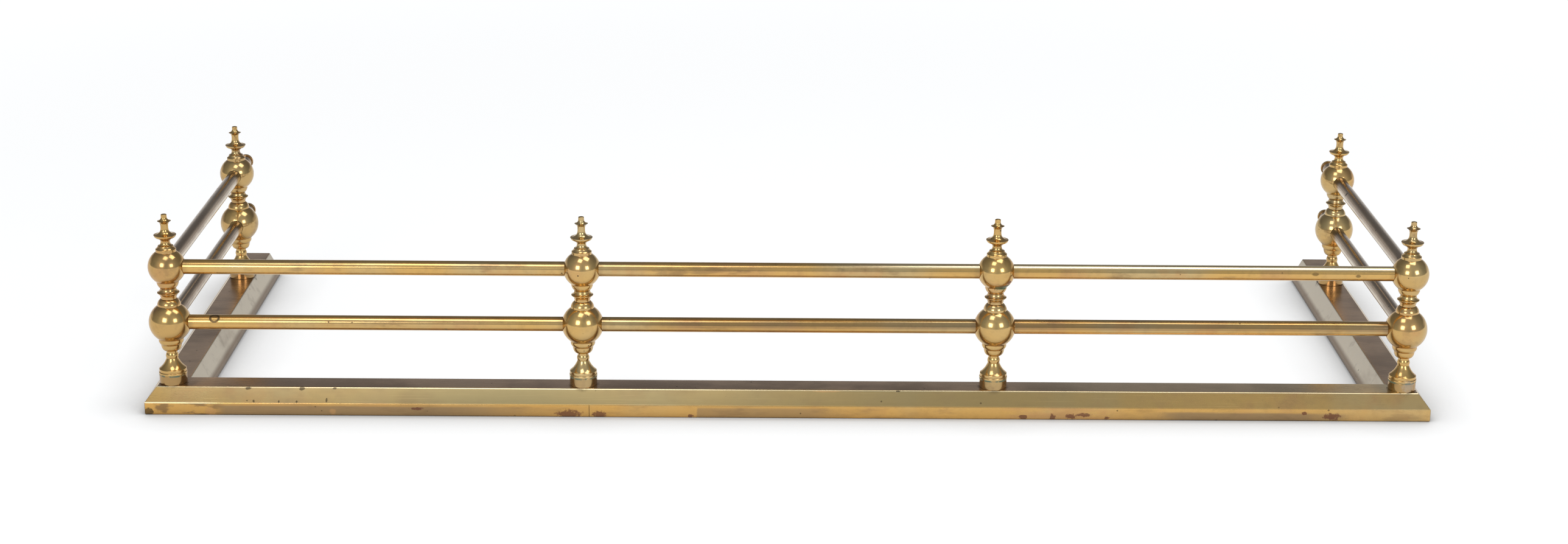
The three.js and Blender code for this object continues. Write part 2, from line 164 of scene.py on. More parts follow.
class FenderStudio(PropertyGroup):
    in_front: colour("In front", "The room in front of the fender, as its metal shows it", 0.44, 0.49, 0.53)
    behind: colour("Behind", "The room behind the fender, as its metal shows it", 0.2, 0.205, 0.215)
    backdrop: colour("Backdrop", "The pale wall low behind the fender, as its metal shows it", 0.62, 0.62, 0.62)
    overhead: amount("Overhead", "Even light from above", 0.12, 3)
    front_lamps: amount("Front lamps", "Brightness of the two front lamps", 4.2, 40)
    ceiling_lamps: amount("Ceiling lamps", "Brightness of the two lamps above", 2.7, 40)
    floor: colour("Floor", "Colour of the floor", 0.5, 0.5, 0.5)
    floor_glow: amount("Floor glow", "How much brighter the floor looks than its light makes it", 0.63)
    # The reach of the painted contact shadow on the floor
    contact: length("Contact shadow", "How far the shadow reaches where the fender meets the floor", 75)
    floor_radius: length("Floor radius", "How far the floor reaches", 14000)


# ---- Turned outlines ----


class Outline:
    """A turned outline in millimetres, drawn upwards: every move goes on from the last point."""

    SPACING = 0.8

    def __init__(self, radius):
        self.points = [(radius, 0.0)]
        self.ball_height = None

    def _follow(self, place, distance):
        """Adds points along a path, where place(t) gives it for t from 0 to 1."""
        count = max(1, math.ceil(distance / self.SPACING))
        self.points += [place(step / count) for step in range(1, count + 1)]
        return self

    def line(self, radius, rise):
        (r, z), end = self.points[-1], self.points[-1][1] + rise
        return self._follow(lambda t: (r + (radius - r) * t, z + (end - z) * t), math.hypot(radius - r, rise))

    def curve(self, radius, rise, fullness):
        """Fullness 1 is a full round and -1 a full hollow, and 0 would be straight."""
        r, z = self.points[-1]
        end = z + rise
        corner = (radius, z) if (radius > r) == (fullness > 0) else (r, end)
        pull = abs(fullness)
        cr = (r + radius) / 2 * (1 - pull) + corner[0] * pull
        cz = (z + end) / 2 * (1 - pull) + corner[1] * pull
        return self._follow(
            lambda t: ((1 - t) ** 2 * r + 2 * t * (1 - t) * cr + t * t * radius,
                       (1 - t) ** 2 * z + 2 * t * (1 - t) * cz + t * t * end),
            math.hypot(radius - r, rise) * 1.2)

    def ball(self, diameter, top_radius):
        """Round a ball from the last radius, below its middle, to top_radius above it."""
        radius = diameter / 2
        r, z = self.points[-1]
        start, end = -math.acos(r / radius), math.acos(top_radius / radius)
        self.ball_height = z - radius * math.sin(start)
        return self._follow(
            lambda t: (radius * math.cos(start + (end - start) * t),
                       self.ball_height + radius * math.sin(start + (end - start) * t)),
            radius * (end - start))


def eased(points, cut):
    """The path with each of its corners rounded over by about `cut`."""
    nothing, least_turn, steps = 1e-6, math.radians(20), 4
    path = [points[0]]
    for before, here, after in zip(points, points[1:], points[2:]):
        corner = Vector(here)
        back, ahead = Vector(before) - corner, Vector(after) - corner
        if min(back.length, ahead.length) < nothing or math.pi - back.angle(ahead) < least_turn:
            path.append(here)
            continue
        start, end = (corner + arm.normalized() * min(cut, arm.length * 0.45) for arm in (back, ahead))
        for t in (step / steps for step in range(steps + 1)):
            path.append(tuple((1 - t) ** 2 * start + 2 * t * (1 - t) * corner + t * t * end))
    return path + [points[-1]]


def outlines(posts):
    """The outline of each turned piece of a post, in the order in which they stack."""
    foot, saucer = posts.foot / 2 / MM, posts.saucer / 2 / MM
    ring = foot + 0.25
    return {
        "foot": Outline(foot).line(foot, 10),
        "stem": Outline(ring).line(ring, 2.3).line(ring - 0.7, 0.5).line(ring - 0.7, 0.5).line(ring - 0.45, 0.25)
        .line(ring - 0.5, 2.45).curve(6.2, 11.5, -0.3).curve(6.75, 3, 0.6).curve(5.8, 3, 0.35).line(5.8, 2.5),
        "lower_ball": Outline(7).curve(11.1, 7.5, 0.75).curve(13.2, 3.5, 0.4).line(13.2, 2.6)
        .ball(posts.lower_ball / MM, 12.4).line(12.4, 2).curve(8.6, 5.5, 0.4),
        "neck_ring": Outline(8.4).line(8.4, 1.5).curve(11.8, 5.1, -0.5).line(11.8, 0.7).curve(8.4, 4.7, -0.7),
        "upper_ball": Outline(8.2).curve(11.6, 5.5, 0.4).line(11.6, 1.7)
        .ball(posts.upper_ball / MM, 10.8).line(10.8, 3.1).curve(8, 3.7, -0.4),
        "finial": Outline(7.4).curve(4.9, 4.3, -0.7).curve((4.9 + saucer) / 2, 3.8, -0.6).curve(saucer, 3.8, 0.6)
        .curve(4.1, 7.1, -0.9).line(4.1, 3.5).curve(7.3, 4.4, -0.6).curve(3.1, 3.9, -0.7).line(3.1, 3.8),
    }


# ---- Making meshes ----


def lathe(points, facets, closed):
    """The solid that a path of (radius, height) points in millimetres sweeps when it is turned about Z."""
    bm = bmesh.new()
    verts = [bm.verts.new((radius * MM, 0, height * MM)) for radius, height in points]
    edges = [bm.edges.new(pair) for pair in zip(verts, verts[1:])]
    if closed:
        edges.append(bm.edges.new((verts[-1], verts[0])))
    bmesh.ops.spin(bm, geom=verts + edges, cent=(0, 0, 0), axis=(0, 0, 1), angle=math.tau, steps=facets,
                   use_merge=True, use_duplicate=False)
    bmesh.ops.remove_doubles(bm, verts=bm.verts, dist=1e-7)
    bmesh.ops.recalc_face_normals(bm, faces=bm.faces)
    return bm


def drum(radius, start, end, facets):
    """A plain round cutter along Z."""
    bm = bmesh.new()
    bmesh.ops.create_cone(bm, cap_ends=True, segments=facets, radius1=radius, radius2=radius, depth=end - start)
    return moved(bm, (0, 0, (start + end) / 2))


def moved(bm, way):
    bmesh.ops.translate(bm, verts=bm.verts, vec=way)
    return bm


def laid_along(bm, direction, place):
    """Turns what was made along Z to lie along a direction, then moves it to its place."""
    turn = Vector((0, 0, 1)).rotation_difference(direction).to_matrix()
    bmesh.ops.rotate(bm, verts=bm.verts, cent=(0, 0, 0), matrix=turn)
    return moved(bm, place)


def rounded(bm, edges, offset, segments):
    bmesh.ops.bevel(bm, geom=edges, offset=offset, offset_type="OFFSET", segments=segments, profile=0.5,
                    affect="EDGES", material=-1)


def mesh_of(bm, name):
    mesh = bpy.data.meshes.new(name)
    bm.to_mesh(mesh)
    bm.free()
    return mesh


def linked(name, data):
    """A new object of that name and data, in the scene."""
    item = bpy.data.objects.new(name, data)
    bpy.context.scene.collection.objects.link(item)
    return item


def drilled(mesh, cutters):
    """The mesh with each cutter taken out of it."""
    body = linked("blank", mesh)
    tools = [linked("cutter", cutter) for cutter in cutters]
    for tool in tools:
        hole = body.modifiers.new("Socket", "BOOLEAN")
        hole.object = tool
        hole.operation = "DIFFERENCE"
        hole.solver = "EXACT"
    bpy.context.view_layer.update()
    result = bpy.data.meshes.new_from_object(body.evaluated_get(bpy.context.evaluated_depsgraph_get()))
    for item in [body, *tools]:
        bpy.data.objects.remove(item)
    return result


def set_down(node, mesh, finish, kind):
    """Puts a mesh in the scene, smoothed and with its finish, as the piece that stands for a node."""
    mesh.shade_smooth()
    mesh.set_sharp_from_angle(angle=SHARP_FROM)
    mesh.materials.clear()
    mesh.materials.append(bpy.data.materials.get(finish) or FINISHES[finish]())
    piece = linked(f"{node}_{kind}", mesh)
    mesh.name = piece.name
    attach(piece, "root")
    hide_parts(node)


def corners(node):
    return [Vector(corner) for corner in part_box(node)]


def middle(node):
    low, high = corners(node)
    return (low + high) / 2


def post_axis(post):
    """A point on the axis of a post."""
    return middle(f"{post}_foot")


def mark(mesh, name, values):
    mesh.attributes.new(name, "FLOAT", "POINT").data.foreach_set("value", values)


class PostOutline:
    """A whole post's outline, which tells how deep in a hollow each point of it lies, and how far along it is."""

    WINDOW = 2.0

    def __init__(self, posts):
        self.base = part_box("front_left_foot")[0][2] / MM
        self.samples = []
        height, run, last = self.base, 0.0, None
        for outline in outlines(posts).values():
            for radius, rise in outline.points:
                here = (radius, height + rise)
                run += math.dist(here, last) if last else 0.0
                self.samples.append((*here, run))
                last = here
            height += outline.points[-1][1]
        self.relief = [self._hollow(run, radius) for radius, _, run in self.samples]
        self.tree = KDTree(len(self.samples))
        for index, (radius, height, _) in enumerate(self.samples):
            self.tree.insert((radius, height, 0), index)
        self.tree.balance()

    def _hollow(self, run, radius):
        near = [r for r, _, s in self.samples if abs(s - run) < self.WINDOW]
        return max(-1.0, min(1.0, sum(near) / len(near) - radius))

    def mark(self, mesh):
        found = [self.tree.find((math.hypot(v.co.x, v.co.y) / MM, v.co.z / MM, 0))[1] for v in mesh.vertices]
        mark(mesh, "relief", [self.relief[index] for index in found])
        mark(mesh, "run", [self.samples[index][2] * MM for index in found])


# ---- Shader maths ----


def arithmetic(operation, swapped=False):
    """A method that makes the node of an operation, which takes the value first, or last where it is swapped."""
    def method(self, *others):
        return self.finish.maths(operation, *((*others, self) if swapped else (self, *others)))
    return method


class Value:
    """What a node gives, wrapped so that maths with numbers that vary over a surface reads as plain arithmetic."""

    def __init__(self, finish, socket):
        self.finish, self.socket = finish, socket

    __add__ = arithmetic("ADD")
    __radd__ = arithmetic("ADD", swapped=True)
    __sub__ = arithmetic("SUBTRACT")
    __rsub__ = arithmetic("SUBTRACT", swapped=True)
    __mul__ = arithmetic("MULTIPLY")
    __pow__ = arithmetic("POWER")
    __abs__ = arithmetic("ABSOLUTE")
    least = arithmetic("MINIMUM")
    most = arithmetic("MAXIMUM")

    def rising(self, low, high):
        """0 up to low and 1 from high on, with a soft change between. Low may be the greater of the two."""
        return self.finish.add("ShaderNodeMapRange", {"interpolation_type": "SMOOTHSTEP"},
                               {"Value": self, "From Min": low, "From Max": high})


class Shading:
    """Nodes under construction, for a finish or for the room."""

    def __init__(self, tree, coordinates):
        self.tree = tree
        self.place = self.add("ShaderNodeTexCoord", output=coordinates)

    def set(self, socket, value):
        if isinstance(value, Value):
            self.tree.links.new(value.socket, socket)
        elif socket.type == "RGBA":
            socket.default_value = (*value[:3], 1)
        else:
            socket.default_value = value

    def add(self, kind, settings={}, inputs={}, output=0):
        """Adds a node of a kind. Its settings come first, then the values or links of its sockets."""
        node = self.tree.nodes.new(kind)
        count = len(self.tree.nodes)
        node.location = (-600 - 200 * (count // 10), 900 - 200 * (count % 10))
        for name, value in settings.items():
            setattr(node, name, value)
        for name, value in inputs.items():
            self.set(node.inputs[name], value)
        return Value(self, node.outputs[output])

    def maths(self, operation, *values):
        return self.add("ShaderNodeMath", {"operation": operation}, dict(enumerate(values)))

    def axis(self, letter):
        return self.add("ShaderNodeSeparateXYZ", {}, {0: self.place}, output=letter)

    def blend(self, factor, under, over):
        return self.add("ShaderNodeMix", {"data_type": "RGBA", "clamp_factor": True},
                        {0: factor, 6: under, 7: over}, output=2)


class Finish(Shading):
    """A material: a metal shader, and the nodes that vary it over the surface."""

    def __init__(self, name, metallic=1.0):
        self.material = bpy.data.materials.new(name)
        self.material.use_nodes = True
        self.material.node_tree.nodes.clear()
        super().__init__(self.material.node_tree, "Object")
        output = self.tree.nodes.new("ShaderNodeOutputMaterial")
        self.shader = self.tree.nodes.new("ShaderNodeBsdfPrincipled")
        self.shader.location = (-300, 0)
        self.shader.inputs["Metallic"].default_value = metallic
        self.tree.links.new(self.shader.outputs[0], output.inputs["Surface"])
        self.colours = bpy.context.scene.fender_finish
        self.tone = None

    def stretched(self, stretch, shift=(0, 0, 0)):
        """Object coordinates at so many features to the metre along each axis."""
        if not hasattr(stretch, "__len__"):
            stretch = (stretch,) * 3
        return self.add("ShaderNodeMapping", {}, {"Vector": self.place, "Location": shift, "Scale": stretch})

    def noise(self, stretch, detail, roughness=0.5, shift=(0, 0, 0)):
        return self.add("ShaderNodeTexNoise", {}, {
            "Vector": self.stretched(stretch, shift), "Scale": 1.0, "Detail": detail, "Roughness": roughness})

    def rings(self, run, density, detail):
        """Noise that changes along an outline only, as tool marks do."""
        return self.add("ShaderNodeTexNoise", {"noise_dimensions": "1D"},
                        {"W": run, "Scale": density, "Detail": detail, "Roughness": 0.6})

    def specks(self, density, size, share, shift=(0, 0, 0)):
        """Small round spots of up to `size` metres in about that share of the cells."""
        cells = {"feature": "F1"}, {"Vector": self.stretched(density, shift), "Scale": 1.0, "Randomness": 1.0}
        distance = self.add("ShaderNodeTexVoronoi", *cells, output="Distance")
        tint = self.add("ShaderNodeTexVoronoi", *cells, output="Color")
        chance = self.add("ShaderNodeSeparateColor", {}, {0: tint})
        reach = chance.rising(1 - share, 1) * (size * density)
        return (reach - distance).rising(0, size * density * 0.3)

    def attribute(self, name):
        return self.add("ShaderNodeAttribute", {"attribute_name": name}, output="Fac")

    def away(self, place, size):
        """Distance from a place, where 1 is the edge of a stain of that size."""
        offset = self.add("ShaderNodeVectorMath", {"operation": "SUBTRACT"}, {0: self.place, 1: place})
        scaled = self.add("ShaderNodeVectorMath", {"operation": "DIVIDE"}, {0: offset, 1: size})
        return self.add("ShaderNodeVectorMath", {"operation": "LENGTH"}, {0: scaled}, output="Value")

    def stains(self, places, ragged, softness=0.3):
        """Stains at (place, size) in millimetres, each with the same kind of ragged edge."""
        nearest = None
        for place, size in places:
            away = self.away([value * MM for value in place], [value * MM for value in size])
            nearest = nearest.least(away) if nearest else away
        return (nearest + ragged).rising(1 + softness / 2, 1 - softness / 2)

    def bump(self, height, distance, **under):
        return self.add("ShaderNodeBump", {}, {"Height": height, "Distance": distance, "Strength": 1.0, **under})

    def coat(self, factor, colour):
        """Blends a colour over the tone so far."""
        self.tone = self.blend(factor, self.tone, colour)

    def brass(self, gold, seed):
        """Starts as brass whose tone drifts between a gold, pale gold and red gold, with a fine mottle."""
        drift = self.noise(7, 3, shift=(seed, 0, 0))
        blush = self.noise(19, 3, 0.6, shift=(0, seed, 3))
        mottle = self.noise(120, 3, 0.6, shift=(seed, 5, 0))
        self.tone = gold
        self.coat(drift.rising(0.45, 0.65), self.colours.pale_gold)
        self.coat(blush.rising(0.5, 0.68) * 0.6, self.colours.red_gold)
        self.coat(mottle.rising(0.45, 0.75) * 0.16, self.colours.tarnish)
        return mottle

    def done(self, **values):
        for name, value in {"Base Color": self.tone, **values}.items():
            self.set(self.shader.inputs[name], value)
        return self.material


# ---- Finishes ----


# Heights between the two levels of rails
BETWEEN_RAILS = (0.12, 0.13)

# Marks on the posts and the rails, as (place, half sizes) in millimetres
FOOT_REPAIR = ((668, -246.5, 35), (7, 6, 6.5))
BALL_STAINS = (((229, -243, 144), (10.5, 9, 3.6)), ((236, -246, 149), (5, 5, 2.6)))
RAIL_MARKS = (((560.3, -239.3, 159.5), (3.6, 2.4, 2)), ((606, -239.4, 157.5), (2.8, 2.2, 1.8)))
SIDE_RAIL_MARK = ((655, 75, 163), (4, 2.4, 2.4))


def fascia_stains(*stains):
    """The same for marks on the front fascia, from (along, up, half width, half height)."""
    face, depth = -258.5, 9
    return tuple(((x, face, z), (wide, depth, high)) for x, z, wide, high in stains)


RED_STAINS = fascia_stains(
    (-235.5, 3.2, 12, 5), (-202.7, 2.8, 6.2, 4), (-105, 2, 2.6, 2), (252, 3, 4.8, 2.6), (284, 3.2, 2.8, 3.2),
    (303.5, 4, 5.2, 3), (318, 6, 6.5, 2), (342, 2.4, 2.8, 1.8), (584, 5.5, 8.6, 3.4), (554, 9, 3.2, 1.8),
    (-398, 8.5, 7, 1.6),
)
DARK_SPOTS = (
    ((-580, -247.8, 27), (3.2, 1.6, 1.6)), ((-522, -247.8, 27), (2.8, 2, 2)), ((-487, -247.6, 27.4), (2.2, 1, 1)),
    ((-573, -257, 15.4), (1, 1.4, 1.4)), ((-546, -257, 15.3), (0.9, 1.4, 1.4)), ((-527, -257, 15.2), (1.1, 1.4, 1.4)),
    ((-495, -256, 16.8), (0.9, 3, 2.6)), *fascia_stains((-686, 3, 5, 5)), ((118, -247.2, 27.6), (2.4, 1, 1)),
)
ORANGE_SPOTS = (*fascia_stains((-488, 5, 3.4, 3), (-620, 4.5, 6, 4)), ((40, -247.5, 27.5), (18, 1.2, 1.2)))


def turned_brass():
    """Turned pieces, tarnished in their hollows, and darker over their feet."""
    finish = Finish("post_finish")
    colours = finish.colours
    relief, run = finish.attribute("relief"), finish.attribute("run")
    mottle = finish.brass(colours.gold, 1.7)

    hollow = relief.rising(0.12, 0.7)
    proud = relief.rising(-0.1, -0.6)
    patina = finish.noise(42, 4, 0.62, shift=(2, 9, 4))
    brown = (patina.rising(0.52, 0.72) * 0.45 + hollow * 0.75).least(1)
    finish.coat(brown * (1 - proud * 0.8), colours.tarnish)
    x, z = finish.axis("X"), finish.axis("Z")
    foot_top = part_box("front_left_foot")[1][2]
    # The corner posts come out a little darker, and the foot drums darker
    corner = x.rising(-0.5, -0.6) * 0.16 + x.rising(0.5, 0.6) * 0.06
    foot = z.rising(foot_top + MM, foot_top - MM) * (0.15 + abs(x).rising(0.5, 0.6) * 0.1 + patina * 0.3)
    finish.coat(corner + foot, colours.tarnish)
    specks = finish.specks(210, 0.0011, 0.12)
    finish.coat(specks * 0.75, colours.grime)

    # Green in the joint between foot and stem, a silvery repair on the right-hand front foot, and a stain low on the
    # front of the mid-right upper ball, green below and copper above
    joint = abs(z - foot_top).rising(0.0014, 0.0004)
    green = joint * finish.noise(130, 3, shift=(0, 0, 7)).rising(0.42, 0.56)
    finish.coat(green * 0.85, colours.verdigris)
    ragged = (finish.noise(320, 3, 0.65) - 0.5) * 1.2
    repair = finish.stains([FOOT_REPAIR], ragged * 1.6, 0.9)
    finish.coat(repair * 0.4, colours.solder)
    stain = finish.stains(BALL_STAINS, ragged, 0.6)
    blotch = finish.blend(z.rising(0.1440, 0.1475), colours.verdigris, colours.copper)
    finish.coat(stain * 0.85, blotch)

    lines = finish.rings(run, 2600, 3)
    roughness = (colours.gloss + brown * 0.12 + mottle * 0.03 + specks * 0.3 + green * 0.45 + repair * 0.2
                 + stain * 0.3 + lines * 0.03)
    height = lines * 0.12 + mottle * 0.3 - specks * 0.8 + green * 2 + repair * 1.5
    return finish.done(Roughness=roughness, Normal=finish.bump(height, 0.00002), Metallic=1 - green * 0.8)


def rail_brass(name, along):
    """Drawn tube, with scratches that run along it."""
    finish = Finish(name)
    colours = finish.colours
    relief = finish.attribute("relief")
    mottle = finish.brass(colours.rail_gold, 4.1 if along == "X" else 8.3)

    def lengthwise(slow, fast):
        return (slow, fast, fast) if along == "X" else (fast, slow, fast)

    seams = finish.noise(lengthwise(1.3, 230), 2, shift=(3, 1, 0))
    streaks = finish.noise(lengthwise(9, 900), 3, 0.6)
    patches = finish.noise(lengthwise(16, 60), 4, 0.62, shift=(5, 0, 2))
    brown = (patches.rising(0.55, 0.72) * 0.5 + relief.rising(0.4, 1.0) * 0.35).least(1)
    finish.coat(seams.rising(0.5, 0.66) * 0.2, colours.tarnish)
    finish.coat(streaks.rising(0.55, 0.7) * 0.25, colours.pale_gold)
    finish.coat(brown, colours.tarnish)
    specks = finish.specks(120, 0.0017, 0.1)
    if along == "X":
        # The lower tubes are browner on top from the middle bay on, and the upper ones carry a painted highlight along
        # their tops there. A dark ring marks the left-hand lower tube, and two dark marks the right-hand upper one.
        x, z = finish.axis("X"), finish.axis("Z")
        film = x.rising(-0.2, -0.1) * z.rising(*BETWEEN_RAILS[::-1]) * z.rising(0.0935, 0.0965)
        film = film * (1 - z.rising(0.1012, 0.1028) * 0.7)
        finish.coat(film * (0.3 + streaks * 0.5), colours.tarnish)
        # Painted highlight: pale colour along the tops of the upper tubes
        crown = x.rising(0.02, 0.15) * z.rising(0.1620, 0.1640)
        finish.coat(crown * 0.7, colours.wear_and_highlight)
        ring = finish.away((-0.6143, -0.2365, 0.1020), (0.0056, 0.0056, 0.0046))
        ring = ring.rising(1.15, 0.95) * ring.rising(0.45, 0.7).most(z.rising(0.1018, 0.1030) * 0.7)
        marks = ring.most(finish.stains(RAIL_MARKS, (mottle - 0.5) * 0.9, 0.6) * 0.7)
    else:
        # The side tubes have a pale film, partly a painted reflection of the bright room, and are brown on top
        z = finish.axis("Z")
        lower, upper = 0.0963, 0.1581
        rise = z - lower - z.rising(*BETWEEN_RAILS) * (upper - lower)
        finish.coat(0.75, colours.dust_and_sheen)
        film = (rise + (patches - 0.5) * 0.008).rising(-0.001, 0.0025)
        finish.coat(film * (0.45 + patches * 0.6), colours.tarnish)
        marks = finish.stains([SIDE_RAIL_MARK], (mottle - 0.5) * 0.6)
    finish.coat((specks * 0.7).most(marks * 0.85), colours.grime)

    scratches = finish.noise(lengthwise(22, 2400), 2).rising(0.64, 0.72)
    roughness = (colours.gloss + brown * 0.12 + mottle * 0.03 + streaks * 0.04 + specks * 0.3 + scratches * 0.06
                 + marks * 0.2)
    height = mottle * 0.4 + streaks * 0.3 - scratches * 0.3 - specks * 0.8 - marks
    return finish.done(Roughness=roughness, Normal=finish.bump(height, 0.000012))


def sheet_brass():
    """Folded sheet with long scratches, brown stretches along the fascia and stains of its own."""
    base = bpy.context.scene.fender_base
    finish = Finish("base_finish")
    colours = finish.colours
    mottle = finish.brass(colours.rail_gold, 12.9)
    x, y, z = (finish.axis(letter) for letter in "XYZ")
    corner_post, mid_post, rear_post = (post_axis(post) for post in ("front_right", "front_mid_right", "rear_right"))
    half, spread, fascia, top = base.flat / 2, base.spread, base.fascia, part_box("base_front")[1][2]

    # How far out from the line of the posts each point lies, and the face of the moulding that it is on
    side, front = abs(x) - corner_post.x, corner_post.y - y
    across = side.most(front)
    on_front = (front - side).rising(-0.5 * MM, 0.5 * MM)
    on_fascia = z.rising(fascia + 0.5 * MM, fascia - 0.3 * MM) * across.rising(spread - 1.5 * MM, spread - 0.8 * MM)
    on_bevel = z.rising(fascia, fascia + 1.3 * MM) * across.rising(half - 0.4 * MM, half + 0.2 * MM)
    on_flat = abs(across).rising(half + 0.2 * MM, half - 0.4 * MM) * z.rising(top - 1.5 * MM, top - MM)
    on_inner = across.rising(0.2 * MM - half, -0.4 * MM - half)
    on_lip = across.rising(3.5 * MM - spread, 0.4 * MM - spread)

    # The outer bevels have dulled, and just left of the middle they are darker still: painted shade that dims the left
    # ceiling lamp's reflection there. The flat top has a brown film, lighter towards the right, and the inner bevels a
    # pale one, over a dark lip.
    clouds = finish.noise((9, 9, 25), 4, 0.6, shift=(1, 4, 0))
    haze = finish.noise((12, 40, 40), 4, 0.62, shift=(8, 1, 6))
    drift = (clouds - 0.5) * 0.12
    # Painted shade: the dulling peaks just left of the middle to dim the left ceiling lamp's reflection
    dulled = on_bevel * (0.3 + x.rising(-0.7, -0.3) * 0.7 - x.rising(-0.3, -0.1) * 0.2 - x.rising(0.15, 0.6) * 0.6)
    finish.coat(dulled, colours.dull_shaded_brass)
    finish.coat(on_flat * (0.8 + haze * 0.2), colours.flat_brown)
    finish.coat(on_flat * haze.rising(0.45, 0.68) * 0.22, colours.tarnish)
    finish.coat(on_flat * clouds.rising(0.42, 0.58) * 0.4, colours.tarnish)
    lighter = x.rising(0.2, 0.35) * 0.35 + x.rising(0.5, 0.6) * 0.45
    finish.coat(on_flat * on_front * lighter, colours.wear_and_highlight)
    finish.coat(on_inner * (0.9 + haze * 0.1 - on_front * 0.35), colours.dust_and_sheen)
    finish.coat(on_inner * haze.rising(0.55, 0.72) * 0.3, colours.tarnish)
    finish.coat(on_lip * 0.8, colours.tarnish)

    # The fascia is amber, with three long brown stretches, a mottled left-hand end and a reddish part
    finish.coat(on_fascia * (0.6 - x.rising(0, 0.2) * 0.4), colours.amber)
    stretches = (x + drift * 0.6).rising(-0.628, -0.604) * (x + drift).rising(-0.20, -0.36) * 0.75
    stretches = stretches.most((x + drift * 0.1).rising(-0.0985, -0.0965) * (x + drift).rising(0.1, 0.0) * 0.55)
    stretches = stretches.most((x + drift).rising(0.36, 0.42) * (x + drift).rising(0.605, 0.56)
                               * (z + drift * 0.03).rising(0.0105, 0.0075) * 0.75)
    worn_top = (z + drift * 0.02).rising(0.0095, 0.0125)
    stretches = on_fascia * on_front * stretches * (1 - worn_top * 0.8)
    finish.coat(stretches, colours.film)
    brown = clouds.rising(0.5, 0.72) * (0.3 - stretches * 0.2)
    corner = finish.noise((45, 45, 130), 3, 0.6, shift=(0, 3, 1)).rising(0.47, 0.6)
    brown = brown.most(corner * on_fascia * on_front * x.rising(-0.60, -0.62) * 0.7)
    finish.coat(brown, colours.tarnish)
    # Painted highlight: a pale line along the fold at the top of the fascia, at the left-hand end
    fascia_edge = abs(across - 0.0263).rising(0.0012, 0.0003) * abs(z - fascia).rising(0.0015, 0.0004)
    finish.coat(fascia_edge * x.rising(-0.6, -0.63) * 0.6, colours.wear_and_highlight)
    smears = finish.noise((16, 16, 70), 4, 0.65, shift=(9, 2, 0))
    finish.coat(on_fascia * smears.rising(0.5, 0.68) * 0.3, colours.tarnish)
    blush = x.rising(0.2, 0.25) * x.rising(0.37, 0.33) * smears.rising(0.4, 0.55)
    finish.coat(on_fascia * on_front * blush * 0.6, colours.red_gold)
    orange = finish.stains(ORANGE_SPOTS, (mottle - 0.5) * 1.4, 0.8)
    finish.coat(orange * 0.6, colours.red_gold)
    # Partly wear and partly a painted highlight: a pale, smoother line along the fold at the edge of the flat top
    top_edge = abs(across - half - 0.2 * MM).rising(0.0011, 0.0003) * z.rising(top - 1.5 * MM, top - 0.8 * MM)
    finish.coat(top_edge * 0.75, colours.wear_and_highlight)

    # Darker round the foot of each post, found from the nearest post's axis
    at_corner, at_mid, at_rear = (u ** 2 + v ** 2 for u, v in (
        (side, front), (abs(x) - mid_post.x, front), (side, y - rear_post.y)))
    near = finish.maths("SQRT", at_corner.least(at_mid).least(at_rear))
    dirt = near.rising(0.0185, 0.0148) * finish.noise(160, 3).rising(0.3, 0.6)
    finish.coat(dirt * 0.6, colours.grime)

    seam_x = -0.2135
    seam = abs(x - seam_x).rising(0.0006, 0.0002) * on_fascia
    ragged = (finish.noise(330, 3, 0.65, shift=(5, 5, 5)) - 0.5) * 1.6
    red = finish.stains(RED_STAINS, ragged * 1.3, 0.5)
    finish.coat(red * 0.8, colours.copper)
    spots = finish.stains(DARK_SPOTS, ragged, 0.4)
    specks = finish.specks(150, 0.0014, 0.1, shift=(4, 0, 0))
    finish.coat((specks * 0.6).most(seam * 0.7).most(spots * 0.75), colours.grime)

    grain = finish.noise((4, 700, 700), 3, 0.6)
    scratches = finish.noise((14, 1500, 1500), 2, shift=(0, 2, 0)).rising(0.63, 0.72)
    finish.coat(scratches * 0.25, colours.pale_gold)
    roughness = (colours.sheet_gloss + (brown + stretches) * 0.1 + dulled * 0.08 + on_inner * 0.14 + mottle * 0.04
                 + specks * 0.2 + red * 0.25 + dirt * 0.15 + grain * 0.04 + scratches * 0.05 - top_edge * 0.14)
    fine = finish.bump(mottle * 0.4 + grain * 0.3 - scratches * 0.3 - specks * 0.8 - seam * 3, 0.000012)
    waves = finish.noise((5, 22, 22), 1, shift=(7, 0, 0))
    return finish.done(Roughness=roughness, Normal=finish.bump(waves, 0.0002, Normal=fine))


def bolt_steel():
    """Dull steel with a little rust."""
    finish = Finish("bolt_finish")
    colours = finish.colours
    wear = finish.noise(180, 4, 0.6)
    rust = finish.noise(70, 4, 0.65, shift=(3, 3, 3)).rising(0.58, 0.72)
    finish.tone = colours.steel
    finish.coat(wear.rising(0.4, 0.7) * 0.5, colours.solder)
    finish.coat(rust * 0.6, colours.copper)
    return finish.done(Roughness=0.36 + wear * 0.2 + rust * 0.25, Normal=finish.bump(wear + rust, 0.00008))


# Each finish is made when the first piece asks for it
FINISHES = {
    "post_finish": turned_brass,
    "front_rail_finish": lambda: rail_brass("front_rail_finish", "X"),
    "side_rail_finish": lambda: rail_brass("side_rail_finish", "Y"),
    "base_finish": sheet_brass,
    "bolt_finish": bolt_steel,
}


# ---- Operators ----


